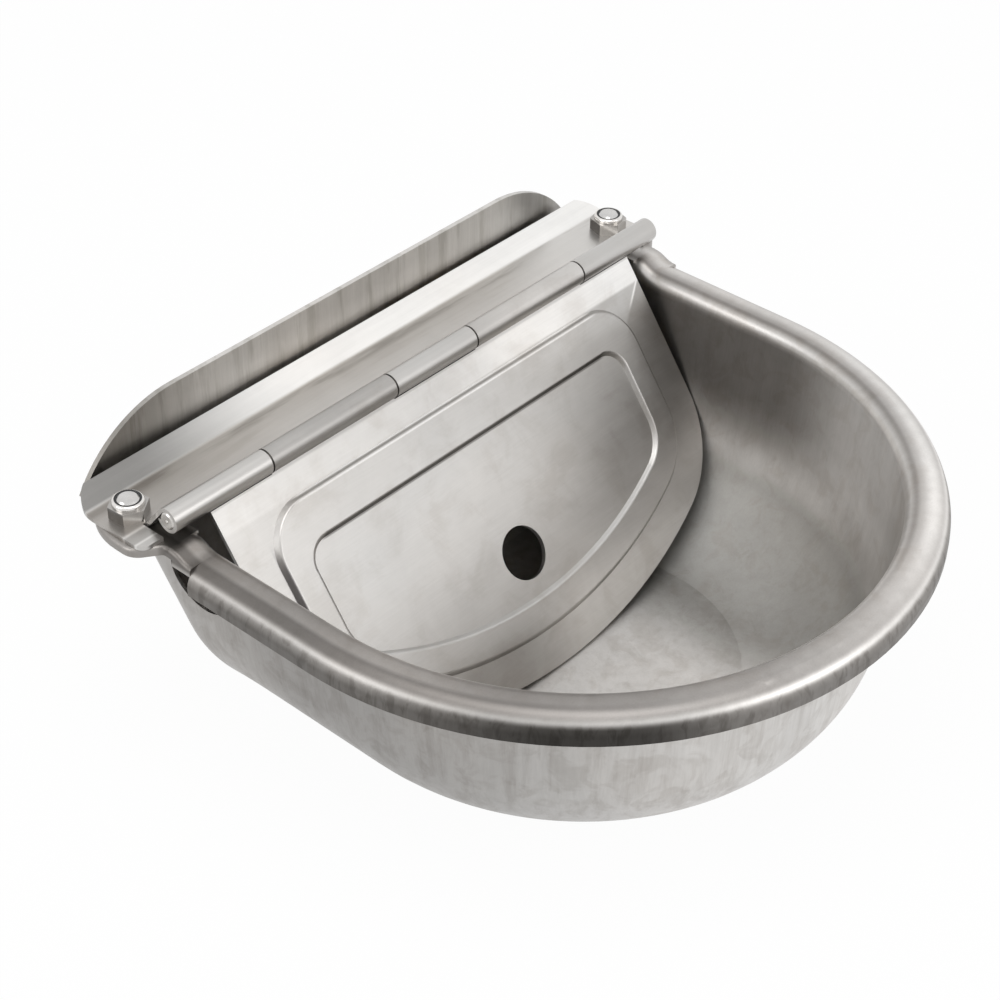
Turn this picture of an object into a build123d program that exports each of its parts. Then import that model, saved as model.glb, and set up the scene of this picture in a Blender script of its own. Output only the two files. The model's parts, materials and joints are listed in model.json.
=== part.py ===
from build123d import *
from math import acos, asin, cos, degrees, radians, sin, sqrt, tan
import os

os.makedirs("parts", exist_ok=True)

# Overall frame: X to the right, Y to the wall, Z up, origin on the floor below the middle of the bowl.
rear_y = 126.5            # wall face of the back plate
front_y = -126.5          # foremost point of the rim

# Bowl
bowl_sheet = 1.2
rim_out = 136.0           # outside radius of the rim's round front
rim_width = 15.0
wall_out = rim_out - rim_width   # outside radius of the wall, at rim height
wall_draft = 3.35         # degrees, at the front and the back
wall_lean = 6.0           # how much more the side walls come in, from the rim to the floor
arc_y = front_y + rim_out
hinge_z = 105.0
rim_drop = 12.0           # from the hinge axis down to the rim
rim_z = hinge_z - rim_drop
leg_drop = 6.0
leg_z = rim_z - leg_drop  # the rim is bent in one section down to here
rim_inner_bend = 4.0
rim_outer_bend = 7.0
lip_depth = 10.4
lip_z = rim_z - lip_depth # lower edge of the rim's lip
rear_corner = 9.0         # at the rim
floor_corner = 55.0       # at the floor, before the bottom is rounded
bottom_round = 50.0
plate_sheet = 2.0
plate_front = rear_y - plate_sheet
plate_gap = 0.5           # between the bowl's wall and the back plate
wall_rear = plate_front - plate_gap
past = 10.0               # how far a cut reaches past what it cuts
lap = 0.5                 # overlap of the drawn wall and the bent rim


def side_lean(z):
    return wall_lean * max(leg_z - z, 0.0) / leg_z


def wall_radius(z, inset=0.0):
    """Half width inside or outside the side walls at a height."""
    return wall_out - inset - (rim_z - z) * tan(radians(wall_draft)) - side_lean(z)


# Hinge
hinge_y = 80.5
pin_r = 3.25
hinge_gap = 0.1           # radial running clearance
hinge_sheet = 1.5
knuckle_r = pin_r + hinge_gap + hinge_sheet
knuckle_in = 22.0         # joint between the middle knuckle and its neighbours
knuckle_out = 85.2
knuckle_gap = 0.8

# Hinge strip and the ears of the bowl that carry it
ear_overhang = 7.5        # past the rim's outside
ear_half = rim_out + ear_overhang
strip_inset = 2.0         # from the ear's end to the strip's end
strip_half = ear_half - strip_inset
nut_margin = 10.5         # from the middle of a nut to the strip's end
strip_step = 7.6          # hinge axis above the strip's flat
strip_top = hinge_z - strip_step
strip_bottom = strip_top - hinge_sheet
ramp_angle = 38.0
ramp_bend = 2.5
fold_reach = 32.5         # behind the hinge axis
fold_y = hinge_y + fold_reach
fold_bend = 3.5
band_run = 9.0
band_rise = 4.2
tongue_reach = 2.0
tongue_y = hinge_y + tongue_reach
slit_reach = 12.6         # end of the relief slit between ramp and tongue
slit_y = hinge_y + slit_reach
slit_width = 0.8
window_gap = 1.3          # between a window's edge and the lid's knuckles
window_y = knuckle_r + window_gap
strip_corner = 15.0
tongue_corner = 4.0

# M8 bolts with self-locking nuts
bolt_x = strip_half - nut_margin
knuckle_end = bolt_x
bolt_reach = 20.3
bolt_y = hinge_y + bolt_reach
bolt_r = 4.0
bolt_hole = 4.3
bolt_flats = 13.0
bolt_head = 5.3
washer_r = 8.0
washer_thick = 1.6
nut_hex = 5.0
nut_collar = 1.9
nut_collar_r = 5.9
insert_r = 4.95
insert_bore = 4.1
insert_thick = 1.3
bolt_above_nut = 0.4
nut_turns = {1: 12.0, -1: 34.0}   # degrees, as tightened
nut_round = 1.0
insert_recess = 0.3       # of the insert below the nut's top
bolt_chamfer = 0.6

# Ears
ear_top = strip_bottom
ear_setback = 6.0         # front corners behind the hinge axis
ear_front = hinge_y + ear_setback
ear_skirt = 3.4
ear_edge = 1.6            # rounding of the turned-down edge
skirt_ease = 0.2
lip_reach = 13.5          # end of the rim's lip in front of the hinge axis
lip_end = hinge_y - lip_reach
joggle_run = 11.0
joggle_end = lip_end + joggle_run
neck_inset = 1.6
ear_neck = rim_out - neck_inset   # half width at the front of the ears
neck_straight = 2.0
neck_round = 2.0
ear_round = 8.0           # front corners
ear_corner = 30.0         # rear corners
ear_join = 87.0

# Lid
lid_angle = 54.0          # below horizontal
lid_side_gap = 5.6        # to the wall's inside, at rim height
lid_half = wall_out - bowl_sheet - lid_side_gap
lid_length = 127.0
lid_sheet = hinge_sheet
lid_corner = 45.0
lid_bottom_r = 205.0
leaf_gap = 0.4
lid_start = knuckle_r + leaf_gap   # start of the leaf beside the strip's knuckles
ring_out = 14.3
ring_in = 28.4
ring_rise = 2.0
ring_slope = 50.0
ring_top = 16.0           # distance of the raised ring from the hinge axis
ring_hollow = 34.8        # distance of the middle field from the hinge axis
ring_corner = 20.0
hollow_corner = 8.5
crease = 1.2              # rounding of the ring's edges
finger_r = 10.6
finger_s = 81.9

# Back plate
plate_rise = 14.0         # above the hinge axis
plate_top = hinge_z + plate_rise
plate_half = 139.5
plate_crown = 52.0        # radius of its upper corners
shoulder_drop = 3.0       # below the ears' top
plate_shoulder = ear_top - shoulder_drop
plate_tail = 96.0         # half width below the ears
plate_foot = 25.0
plate_corner = 12.0
plate_throat = 6.0

# Service holes and valve
hole_r = 14.0
valve_back = 2.0          # behind the hinge axis
valve_y = hinge_y + valve_back
valve_drop = 36.0         # below the hinge axis
valve_z = hinge_z - valve_drop
thread_r = 13.22          # G3/4
wall_inner = wall_radius(valve_z, bowl_sheet)
flange_thick = 3.5
flange_gap = 3.4          # between the flange and the wall, filled by the inner washer
flange_x = wall_inner - flange_gap - flange_thick
nut_reach = 15.5          # from the flange's back to the locknut
nut_face = flange_x + nut_reach
nut_thick = 7.0
nut_flats = 36.0
hose_reach = 12.0         # of the stub past the locknut
stub_end = nut_face + nut_thick + hose_reach
stub_chamfer = 1.2
groove_r = 12.4           # thread run-out behind the hose's part of the stub
groove_width = 1.5
groove_gap = 1.0          # between the locknut and the groove
stub_bore = 9.0
throat_r = 5.0            # between the stub's bore and the seat
throat_inset = 2.0
throat_end = flange_x - throat_inset
seal_r = 17.5
seal_play = 0.1           # radial, round the thread
seal_bore = thread_r + seal_play
barrel_r = 12.5
barrel_length = 48.0
barrel_end = flange_x - barrel_length
fit = 0.05                # radial clearance of sliding and seated pieces
play = 0.3                # side clearance of the lever
lever_half = 3.0
slot_half = lever_half + play
cap_thick = 4.0
cap_gap = 0.1             # between the cap's spigot and the piston
cap_chamfer = 0.8
cap_slot_width = 2.0
cap_slot_depth = 1.5
arm_drop = 10.0           # degrees below level in the empty bowl
nose_reach = 18.0
nose_r = 3.0
eye_r = 6.0
neck_half = 2.0
pivot_inset = 14.0        # from the barrel's end
pivot_x = barrel_end + pivot_inset
pivot_z = valve_z - nose_reach
pivot_r = 2.0
pivot_play = 0.1
rivet_head_r = 1.7 * pivot_r
rivet_head = 1.2
rivet_stand = 1.0
cheek_thick = 3.3
piston_r = 8.0
piston_inset = 4.0
piston_back = barrel_end + piston_inset
piston_length = 24.0
piston_front = piston_back + piston_length
disc_r = 6.0
disc_thick = 4.0
disc_stand = 2.0          # of the disc in front of the piston
disc_face = piston_front + disc_stand
piston_travel = nose_reach * sin(radians(arm_drop))
seat_r = 7.5
seat_gap = 0.05           # left between disc and seat when the valve is shut
seat_face = disc_face + piston_travel + seat_gap
seat_thick = 7.0
seat_chamfer = 1.0
orifice_r = 2.5
bore_r = piston_r + fit
nose_play = 0.5
nose_slot = 2 * nose_r + nose_play
nose_room = 0.6           # above the nose
neck_room = 3.0           # more slot for the leaning neck
outlet_inset = 1.0        # of the outlet slot from the piston's back and the seat
float_reach = 76.0
float_x = 64.0
float_w = 36.0
float_h = 28.0
float_round = 6.0
float_edge = 2.0
rod_r = 3.0
float_nut_flats = 10.0
float_nut_thick = 5.0
rod_stand = 2.0           # of the rod past the outer nut
rod_bite = 1.5            # of the rod into the lever's eye

# Wall fixing
wall_hole_r = 4.5
wall_hole_x = 70.0
wall_hole_drop = 28.0     # below the hinge axis
wall_hole_z = hinge_z - wall_hole_drop


def bent_sheet(points, radii, thickness):
    """Face of a bent sheet round a centre line in the current sketch."""
    left, right = [], []
    for i, p in enumerate(points):
        p = Vector(*p)
        before = (p - Vector(*points[i - 1])).normalized() if i else None
        after = (Vector(*points[i + 1]) - p).normalized() if i < len(points) - 1 else None
        a = before or after
        b = after or before
        na, nb = Vector(-a.Y, a.X), Vector(-b.Y, b.X)
        side = (na + nb).normalized() * (thickness / 2 / ((na + nb).normalized().dot(na)))
        left.append(p + side)
        right.append(p - side)
    outline = left + right[::-1]
    face = Polygon(*[(v.X, v.Y) for v in outline], align=None)
    for i in range(1, len(points) - 1):
        a = Vector(*points[i]) - Vector(*points[i - 1])
        b = Vector(*points[i + 1]) - Vector(*points[i])
        turns_left = a.X * b.Y - a.Y * b.X > 0
        small, large = (left[i], right[i]) if turns_left else (right[i], left[i])
        for corner, radius in ((small, radii[i - 1] - thickness / 2), (large, radii[i - 1] + thickness / 2)):
            found = face.vertices().sort_by_distance((corner.X, corner.Y, 0))
            face = fillet(found[0], radius)
    return face


def bowl_plan(z, inset):
    """Plan of the wall at a height: round front, leaning sides, rounded back corners."""
    depth = rim_z - z
    radius = wall_radius(z, inset)
    centre = arc_y - side_lean(z)
    rear = wall_rear - inset - depth * tan(radians(wall_draft))
    corner = rear_corner + (floor_corner - rear_corner) * depth / rim_z - inset
    with BuildLine() as edge:
        Polyline((radius, centre), (radius, rear), (-radius, rear), (-radius, centre))
        ThreePointArc((-radius, centre), (0, centre - radius), (radius, centre))
    face = make_face(edge.edges())
    fillet(face.vertices().sort_by(Axis.Y)[-2:], corner)


# Solid inside of the bowl, and the outside around it
with BuildPart() as hollow:
    for level in (ear_top + past, leg_z, bowl_sheet):
        with BuildSketch(Plane.XY.offset(level)):
            bowl_plan(level, bowl_sheet)
    loft(ruled=True)
    fillet(hollow.faces().sort_by(Axis.Z)[0].edges(), bottom_round - bowl_sheet)

with BuildPart() as outside:
    for level in (ear_top - bowl_sheet / 2, leg_z, 0):
        with BuildSketch(Plane.XY.offset(level)):
            bowl_plan(level, 0)
    loft(ruled=True)
    fillet(outside.faces().sort_by(Axis.Z)[0].edges(), bottom_round)

# Rolled rim: wall, inner bend, flange, outer bend and lip in one bent section
mid = bowl_sheet / 2
rim_line = [
    (wall_radius(leg_z, mid), leg_z),
    (wall_radius(rim_z - mid, mid), rim_z - mid),
    (rim_out - mid, rim_z - mid),
    (rim_out - mid, lip_z),
]
flange_line = rim_line[:2] + [(ear_neck - mid, rim_z - mid), (ear_neck - mid, rim_z - ear_skirt)]
rim_bends = [rim_inner_bend, rim_outer_bend]
flange_bends = [rim_inner_bend, ear_edge - mid + skirt_ease]
joggle_rise = ear_top - rim_z
with BuildPart() as rim:
    with BuildSketch(Plane.XZ.offset(-arc_y)):
        bent_sheet(rim_line, rim_bends, bowl_sheet)
    revolve(axis=Axis((0, arc_y, 0), (0, 0, -1)), revolution_arc=180)
    with BuildLine(Plane.YZ) as joggle:
        half_way = ((lip_end + joggle_end) / 2, (rim_z + ear_top) / 2 - mid)
        TangentArc((lip_end, rim_z - mid), half_way, tangent=(1, 0))
        TangentArc((joggle_end, ear_top - mid), half_way, tangent=(-1, 0))
    for side in (1, -1):
        with BuildSketch(Plane.XZ.offset(-arc_y)):
            bent_sheet([(side * x, z) for x, z in rim_line], rim_bends, bowl_sheet)
        extrude(amount=-(lip_end - arc_y))
        with BuildSketch(Plane.XZ.offset(-lip_end)) as section:
            bent_sheet([(side * x, z) for x, z in flange_line], flange_bends, bowl_sheet)
        sweep(section.sketch, path=joggle.wire())
        with BuildSketch(Plane.XZ.offset(-joggle_end)):
            bent_sheet([(side * x, z + joggle_rise) for x, z in flange_line], flange_bends, bowl_sheet)
        extrude(amount=-(ear_join - joggle_end))

# Ears: a raised flange round the back of the bowl, edges turned down
ear_points = [
    (ear_neck, joggle_end),
    (ear_neck, joggle_end + neck_straight),
    (ear_half, ear_front),
    (ear_half, plate_front),
]
ear_outline = ear_points + [(-x, y) for x, y in ear_points[::-1]]
with BuildPart() as ears:
    with BuildSketch(Plane.XY.offset(ear_top - ear_skirt)) as outline:
        Polygon(*ear_outline, align=None)
        corners = outline.vertices()
        fillet(corners.filter_by(lambda v: abs(v.X) > ear_half - 1 and v.Y < ear_front + 1), ear_round)
        corners = outline.vertices()
        fillet(corners.filter_by(lambda v: abs(v.X) > ear_half - 1 and v.Y > plate_front - 1), ear_corner)
        corners = outline.vertices()
        necks = corners.filter_by(lambda v: abs(abs(v.X) - ear_neck) < 1 and v.Y > joggle_end + lap)
        fillet(necks, neck_round)
    extrude(amount=ear_skirt)
    edges = ears.edges().filter_by(lambda e: abs(e.center().Z - ear_top) < 0.01)
    fillet(edges.filter_by(lambda e: abs(e.center().X) > ear_neck - 1 and e.center().Y < plate_front - 3), ear_edge)
    with BuildSketch(Plane.XY.offset(ear_top - ear_skirt - lap)):
        offset(outline.sketch, amount=-bowl_sheet)
        with Locations((0, plate_front - 3)):
            Rectangle(2 * (ear_half - ear_corner), past)
        with Locations((0, joggle_end)):
            Rectangle(2 * (ear_neck - bowl_sheet), 2 * bowl_sheet)
    extrude(amount=ear_skirt + lap - bowl_sheet, mode=Mode.SUBTRACT)
    add(hollow.part, mode=Mode.SUBTRACT)

# Part of the drawn wall that the rim replaces
with BuildPart() as wall_trim:
    with BuildSketch(Plane.YZ):
        Polygon(
            (front_y - past, leg_z + lap),
            (lip_end, leg_z + lap),
            (joggle_end, leg_z + joggle_rise + lap),
            (ear_join, leg_z + joggle_rise + lap),
            (ear_join, ear_top + past),
            (front_y - past, ear_top + past),
            align=None,
        )
    extrude(amount=rim_out + past, both=True)

with BuildPart() as bowl:
    add(outside.part)
    add(hollow.part, mode=Mode.SUBTRACT)
    add(wall_trim.part, mode=Mode.SUBTRACT)
    add(rim.part)
    add(ears.part)
    # service hole in each side wall
    with Locations(Plane.YZ):
        with Locations((valve_y, valve_z)):
            Cylinder(hole_r, 2 * rim_out, rotation=(0, 0, 0), mode=Mode.SUBTRACT)
    # wall fixing holes above the water line
    with Locations(Plane.XZ.offset(-wall_rear)):
        with Locations((wall_hole_x, wall_hole_z), (-wall_hole_x, wall_hole_z)):
            Cylinder(wall_hole_r, past, mode=Mode.SUBTRACT)
    # bolt holes in the ears
    with Locations((bolt_x, bolt_y, ear_top), (-bolt_x, bolt_y, ear_top)):
        Cylinder(bolt_hole, past, mode=Mode.SUBTRACT)
bowl.part.label = "bowl"
export_step(bowl.part, "parts/bowl.step")

# Back plate: stands behind the bowl, against the wall
with BuildPart() as back_plate:
    with BuildSketch(Plane.XZ.offset(-rear_y)) as outline:
        with Locations((0, plate_top)):
            Rectangle(2 * plate_half, 2 * plate_crown, align=(Align.CENTER, Align.MAX))
        fillet(outline.vertices().sort_by(Axis.Y)[-2:], plate_crown)
        with Locations((0, plate_shoulder)):
            Rectangle(2 * plate_half, plate_top, align=(Align.CENTER, Align.MAX), mode=Mode.SUBTRACT)
        with Locations((0, plate_foot)):
            Rectangle(2 * plate_tail, plate_shoulder - plate_foot, align=(Align.CENTER, Align.MIN))
        fillet(outline.vertices().sort_by(Axis.Y)[:2], plate_corner)
        throat = [v for v in outline.vertices() if abs(abs(v.X) - plate_tail) < 0.01]
        fillet([v for v in throat if abs(v.Y - plate_shoulder) < 0.01], plate_throat)
    extrude(amount=plate_sheet)
    with Locations(Plane.XZ.offset(-rear_y)):
        with Locations((wall_hole_x, wall_hole_z), (-wall_hole_x, wall_hole_z)):
            Cylinder(wall_hole_r, 4 * plate_sheet, mode=Mode.SUBTRACT)
back_plate.part.label = "back_plate"
export_step(back_plate.part, "parts/back_plate.step")

# Rolled knuckles, shared by the strip and the lid
bore = pin_r + hinge_gap
knuckle_mid = (bore + knuckle_r) / 2
seam_gap = 7.0            # degrees, more than where the roll would meet the leaf
seam = degrees(acos(bore / knuckle_r)) + seam_gap


def rolled_knuckle(centre, leave, turn):
    """Sheet rolled round the pin, open between the angle where the leaf leaves and the roll's end."""
    with Locations(centre):
        Circle(knuckle_r)
        reach = 2 * knuckle_r
        ends = [(reach * cos(radians(a)), reach * sin(radians(a))) for a in (leave, leave + turn)]
        Polygon((0, 0), *ends, align=None, mode=Mode.SUBTRACT)


strip_knuckles = [
    (-knuckle_end, -knuckle_out - knuckle_gap / 2),
    (-knuckle_in + knuckle_gap / 2, knuckle_in - knuckle_gap / 2),
    (knuckle_out + knuckle_gap / 2, knuckle_end),
]
lid_knuckles = [
    (-knuckle_out + knuckle_gap / 2, -knuckle_in - knuckle_gap / 2),
    (knuckle_in + knuckle_gap / 2, knuckle_out - knuckle_gap / 2),
]

# Hinge strip: knuckles, ramp, flat and raised rear band bent from one sheet
tilt = radians(ramp_angle)
flat_z = strip_top - hinge_sheet / 2
ramp_start = (hinge_y + knuckle_mid * cos(tilt), hinge_z + knuckle_mid * sin(tilt))
ramp_foot = (ramp_start[0] + (ramp_start[1] - flat_z) * tan(tilt), flat_z)
band_end = (fold_y + band_run, flat_z + band_rise)
with BuildPart() as hinge_strip:
    with BuildSketch(Plane.YZ.offset(-knuckle_end)):
        bent_sheet([ramp_start, ramp_foot, (fold_y, flat_z), band_end], [ramp_bend, fold_bend], hinge_sheet)
    extrude(amount=2 * knuckle_end)
    with BuildSketch(Plane.YZ.offset(-strip_half)):
        bent_sheet([(slit_y, flat_z), (fold_y, flat_z), band_end], [fold_bend], hinge_sheet)
    extrude(amount=2 * strip_half)
    # windows that the lid's knuckles turn in
    for start, end in zip(strip_knuckles, strip_knuckles[1:]):
        with BuildSketch(Plane.XY.offset(strip_top)):
            with Locations(((start[1] + end[0]) / 2, hinge_y + window_y)):
                Rectangle(end[0] - start[1], 4 * knuckle_r, align=(Align.CENTER, Align.MAX))
        extrude(amount=4 * knuckle_r, mode=Mode.SUBTRACT)
    for start, end in strip_knuckles:
        with BuildSketch(Plane.YZ.offset(start)):
            rolled_knuckle((hinge_y, hinge_z), ramp_angle, -seam)
        extrude(amount=end - start)
    # flat tongues outside the knuckles
    for side in (1, -1):
        with BuildSketch(Plane.XY.offset(strip_bottom)):
            with Locations((side * (knuckle_end + slit_width + strip_half) / 2, tongue_y)):
                tongue = strip_half - knuckle_end - slit_width
                Rectangle(tongue, slit_y + hinge_sheet - tongue_y, align=(Align.CENTER, Align.MIN))
        extrude(amount=hinge_sheet)
    with BuildSketch(Plane.XY.offset(strip_bottom)) as outline:
        with Locations((0, tongue_y)):
            Rectangle(2 * strip_half, rear_y - tongue_y, align=(Align.CENTER, Align.MIN))
        fillet(outline.vertices().sort_by(Axis.Y)[:2], tongue_corner)
        with Locations((0, band_end[0] + hinge_sheet)):
            Rectangle(2 * strip_half, rear_y, align=(Align.CENTER, Align.MIN), mode=Mode.SUBTRACT)
        fillet(outline.vertices().sort_by(Axis.Y)[-2:], strip_corner)
        with Locations((0, hinge_y)):
            Rectangle(2 * knuckle_end, 2 * slit_y - 2 * hinge_y)
    extrude(amount=4 * knuckle_r, mode=Mode.INTERSECT)
    with Locations((0, hinge_y, hinge_z)):
        Cylinder(bore, 2 * rim_out, rotation=(0, 90, 0), mode=Mode.SUBTRACT)
    with Locations((bolt_x, bolt_y, strip_top), (-bolt_x, bolt_y, strip_top)):
        Cylinder(bolt_hole, 4 * hinge_sheet, mode=Mode.SUBTRACT)
hinge_strip.part.label = "hinge_strip"
export_step(hinge_strip.part, "parts/hinge_strip.step")

# Hinge pin
pin_stand = 0.4           # out of the knuckles at each end
pin_chamfer = 0.5
centre_mark = 0.8
pin_half = knuckle_end + pin_stand
with BuildPart() as hinge_pin:
    with Locations((0, hinge_y, hinge_z)):
        Cylinder(pin_r, 2 * pin_half, rotation=(0, 90, 0))
    chamfer(hinge_pin.edges().filter_by(GeomType.CIRCLE), pin_chamfer)
    with Locations((pin_half, hinge_y, hinge_z), (-pin_half, hinge_y, hinge_z)):
        Sphere(centre_mark, mode=Mode.SUBTRACT)
hinge_pin.part.label = "hinge_pin"
export_step(hinge_pin.part, "parts/hinge_pin.step")

# Lid: flat sheet with a raised ring pressed into it, made level and then hung on the pin
ring_run = ring_rise / tan(radians(ring_slope))
sheet_shift = lid_sheet * tan(radians(ring_slope / 2))
lid_slit = degrees(asin(lid_sheet / knuckle_mid))   # the roll ends below the leaf
lid_slit_width = 14.0     # degrees
lid_under = -lid_sheet    # the leaf's face lies level with the hinge axis
lid_over = 0.0
lid_tilt = Plane(
    origin=(0, hinge_y, hinge_z),
    x_dir=(1, 0, 0),
    z_dir=(0, -sin(radians(lid_angle)), cos(radians(lid_angle))),
)


def lid_plan(inset, top, corner=0):
    """Outline of the leaf, a distance inside its edge, in the current sketch."""
    half = lid_half - inset
    arc = lid_bottom_r - inset
    centre = lid_bottom_r - lid_length
    side = centre - sqrt(arc**2 - half**2)
    with BuildLine() as edge:
        Polyline((half, side), (half, -top), (-half, -top), (-half, side))
        ThreePointArc((-half, side), (0, centre - arc), (half, side))
    face = make_face(edge.edges())
    face = fillet(face.vertices().sort_by(Axis.Y)[:2], lid_corner - inset)
    if corner:
        fillet(face.vertices().sort_by(Axis.Y)[-2:], corner)


def ring_plan(outer, inset):
    """Outline of the ring's outer or inner edge, an inset inside it, in the current sketch."""
    if outer:
        lid_plan(ring_out + inset, ring_top + inset, ring_corner - inset)
    else:
        lid_plan(ring_in + inset, ring_hollow + inset, hollow_corner - inset)


with BuildPart() as lid_blank:
    with BuildSketch(Plane.XY.offset(lid_under)):
        lid_plan(0, lid_start)
        for start, end in lid_knuckles:
            with Locations(((start + end) / 2, 0)):
                Rectangle(end - start, 2 * lid_start, align=(Align.CENTER, Align.MAX))
    extrude(amount=lid_sheet)
    with BuildSketch(Plane.XY.offset(lid_over)):
        ring_plan(True, 0)
    extrude(amount=ring_rise, taper=90 - ring_slope)
    with BuildSketch(Plane.XY.offset(lid_over + ring_rise)):
        ring_plan(False, -ring_run)
    extrude(amount=-ring_rise, taper=90 - ring_slope, mode=Mode.SUBTRACT)
    fillet(lid_blank.edges().group_by(Axis.Z)[-1], crease)
    with BuildSketch(Plane.XY.offset(lid_under)):
        ring_plan(True, sheet_shift)
    extrude(amount=ring_rise, taper=90 - ring_slope, mode=Mode.SUBTRACT)
    with BuildSketch(Plane.XY.offset(lid_under + ring_rise)):
        ring_plan(False, -ring_run - sheet_shift)
    extrude(amount=-ring_rise, taper=90 - ring_slope)
    with Locations((0, -finger_s, lid_over)):
        Cylinder(finger_r, 4 * lid_sheet, mode=Mode.SUBTRACT)
    for start, end in lid_knuckles:
        with BuildSketch(Plane.YZ.offset(start)):
            rolled_knuckle((0, 0), 180 + lid_slit, lid_slit_width)
        extrude(amount=end - start)
    Cylinder(bore, 2 * knuckle_out, rotation=(0, 90, 0), mode=Mode.SUBTRACT)
with BuildPart() as lid:
    add(lid_blank.part.moved(lid_tilt.location))
lid.part.label = "lid"
export_step(lid.part, "parts/lid.step")

# Bolts, washers and self-locking nuts that clamp the strip on the ears
washer_z = ear_top - bowl_sheet - washer_thick
nut_top = strip_top + nut_hex + nut_collar
with BuildPart() as strip_bolts:
    for side in (1, -1):
        with BuildSketch(Plane.XY.offset(washer_z - bolt_head)):
            with Locations((side * bolt_x, bolt_y)):
                RegularPolygon(bolt_flats / 2, 6, major_radius=False)
        extrude(amount=bolt_head)
        with BuildSketch(Plane.XY.offset(washer_z)):
            with Locations((side * bolt_x, bolt_y)):
                Circle(bolt_r)
        extrude(amount=nut_top + bolt_above_nut - washer_z)
    chamfer(strip_bolts.edges().filter_by(GeomType.CIRCLE).group_by(Axis.Z)[-1], bolt_chamfer)
strip_bolts.part.label = "strip_bolts"
export_step(strip_bolts.part, "parts/strip_bolts.step")

with BuildPart() as strip_washers:
    with BuildSketch(Plane.XY.offset(washer_z)):
        with Locations((bolt_x, bolt_y), (-bolt_x, bolt_y)):
            Circle(washer_r)
            Circle(bolt_r + fit, mode=Mode.SUBTRACT)
    extrude(amount=washer_thick)
strip_washers.part.label = "strip_washers"
export_step(strip_washers.part, "parts/strip_washers.step")

with BuildPart() as strip_nuts:
    for side, turn in nut_turns.items():
        with BuildSketch(Plane.XY.offset(strip_top)):
            with Locations((side * bolt_x, bolt_y)):
                RegularPolygon(bolt_flats / 2, 6, major_radius=False, rotation=turn)
        extrude(amount=nut_hex)
    for side in nut_turns:
        with BuildSketch(Plane.XY.offset(strip_top + nut_hex)):
            with Locations((side * bolt_x, bolt_y)):
                Circle(nut_collar_r)
        extrude(amount=nut_collar)
    fillet(strip_nuts.edges().filter_by(GeomType.CIRCLE).group_by(Axis.Z)[-1], nut_round)
    with Locations((bolt_x, bolt_y, strip_top), (-bolt_x, bolt_y, strip_top)):
        Cylinder(bolt_r + fit, 4 * nut_hex, mode=Mode.SUBTRACT)
    with Locations((bolt_x, bolt_y, nut_top), (-bolt_x, bolt_y, nut_top)):
        Cylinder(insert_r, 2 * (insert_thick + insert_recess), mode=Mode.SUBTRACT)
strip_nuts.part.label = "strip_nuts"
export_step(strip_nuts.part, "parts/strip_nuts.step")

with BuildPart() as nut_inserts:
    with BuildSketch(Plane.XY.offset(nut_top - insert_thick - insert_recess)):
        with Locations((bolt_x, bolt_y), (-bolt_x, bolt_y)):
            Circle(insert_r)
            Circle(insert_bore, mode=Mode.SUBTRACT)
    extrude(amount=insert_thick)
nut_inserts.part.label = "nut_inserts"
export_step(nut_inserts.part, "parts/nut_inserts.step")

# Float valve. Its axis runs along X; valve_side looks along that axis, valve_face across it.
valve_side = Plane(origin=(0, valve_y, valve_z), x_dir=(0, 1, 0), z_dir=(1, 0, 0))
valve_face = Plane(origin=(0, valve_y, 0), x_dir=(1, 0, 0), z_dir=(0, -1, 0))
flange_face = flange_x + flange_thick
groove_x = nut_face + nut_thick + groove_gap
seat_back = seat_face + seat_thick


def turned(start, end, radius, mode=Mode.ADD):
    """Cylinder round the valve's axis between two places along it."""
    with Locations(valve_side.offset(start)):
        Cylinder(radius, end - start, align=(Align.CENTER, Align.CENTER, Align.MIN), mode=mode)


with BuildPart() as valve_body:
    turned(barrel_end, flange_x, barrel_r)
    turned(flange_x, flange_face, seal_r)
    turned(flange_face, stub_end, thread_r)
    turned(groove_x, groove_x + groove_width, thread_r + 1, Mode.SUBTRACT)
    turned(groove_x, groove_x + groove_width, groove_r)
    chamfer(valve_body.edges().filter_by(GeomType.CIRCLE).sort_by(Axis.X)[-1], stub_chamfer)
    # two cheeks that carry the lever's pivot
    with BuildSketch(valve_face.offset(-slot_half - cheek_thick)):
        with Locations((pivot_x, pivot_z)):
            Circle(eye_r)
            Rectangle(2 * eye_r, valve_z - pivot_z, align=(Align.CENTER, Align.MIN))
    extrude(amount=2 * (slot_half + cheek_thick))
    turned(barrel_end, seat_face, bore_r, Mode.SUBTRACT)
    turned(seat_face, seat_back, seat_r, Mode.SUBTRACT)
    turned(seat_back, throat_end, throat_r, Mode.SUBTRACT)
    turned(throat_end, stub_end, stub_bore, Mode.SUBTRACT)
    # slot for the lever, open below as the outlet
    with BuildSketch(valve_face.offset(-slot_half)):
        with Locations((piston_back + outlet_inset, valve_z)):
            outlet = seat_face - piston_back - 2 * outlet_inset
            Rectangle(outlet, 3 * barrel_r, align=(Align.MIN, Align.MAX))
    extrude(amount=2 * slot_half, mode=Mode.SUBTRACT)
    with Locations(valve_face):
        with Locations((pivot_x, pivot_z)):
            Cylinder(pivot_r, 4 * barrel_r, mode=Mode.SUBTRACT)
valve_body.part.label = "valve_body"
export_step(valve_body.part, "parts/valve_body.step")

with BuildPart() as inlet_locknut:
    with BuildSketch(valve_side.offset(nut_face)):
        RegularPolygon(nut_flats / 2, 6, major_radius=False, rotation=30)
        Circle(thread_r + fit, mode=Mode.SUBTRACT)
    extrude(amount=nut_thick)
inlet_locknut.part.label = "inlet_locknut"
export_step(inlet_locknut.part, "parts/inlet_locknut.step")

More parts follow.
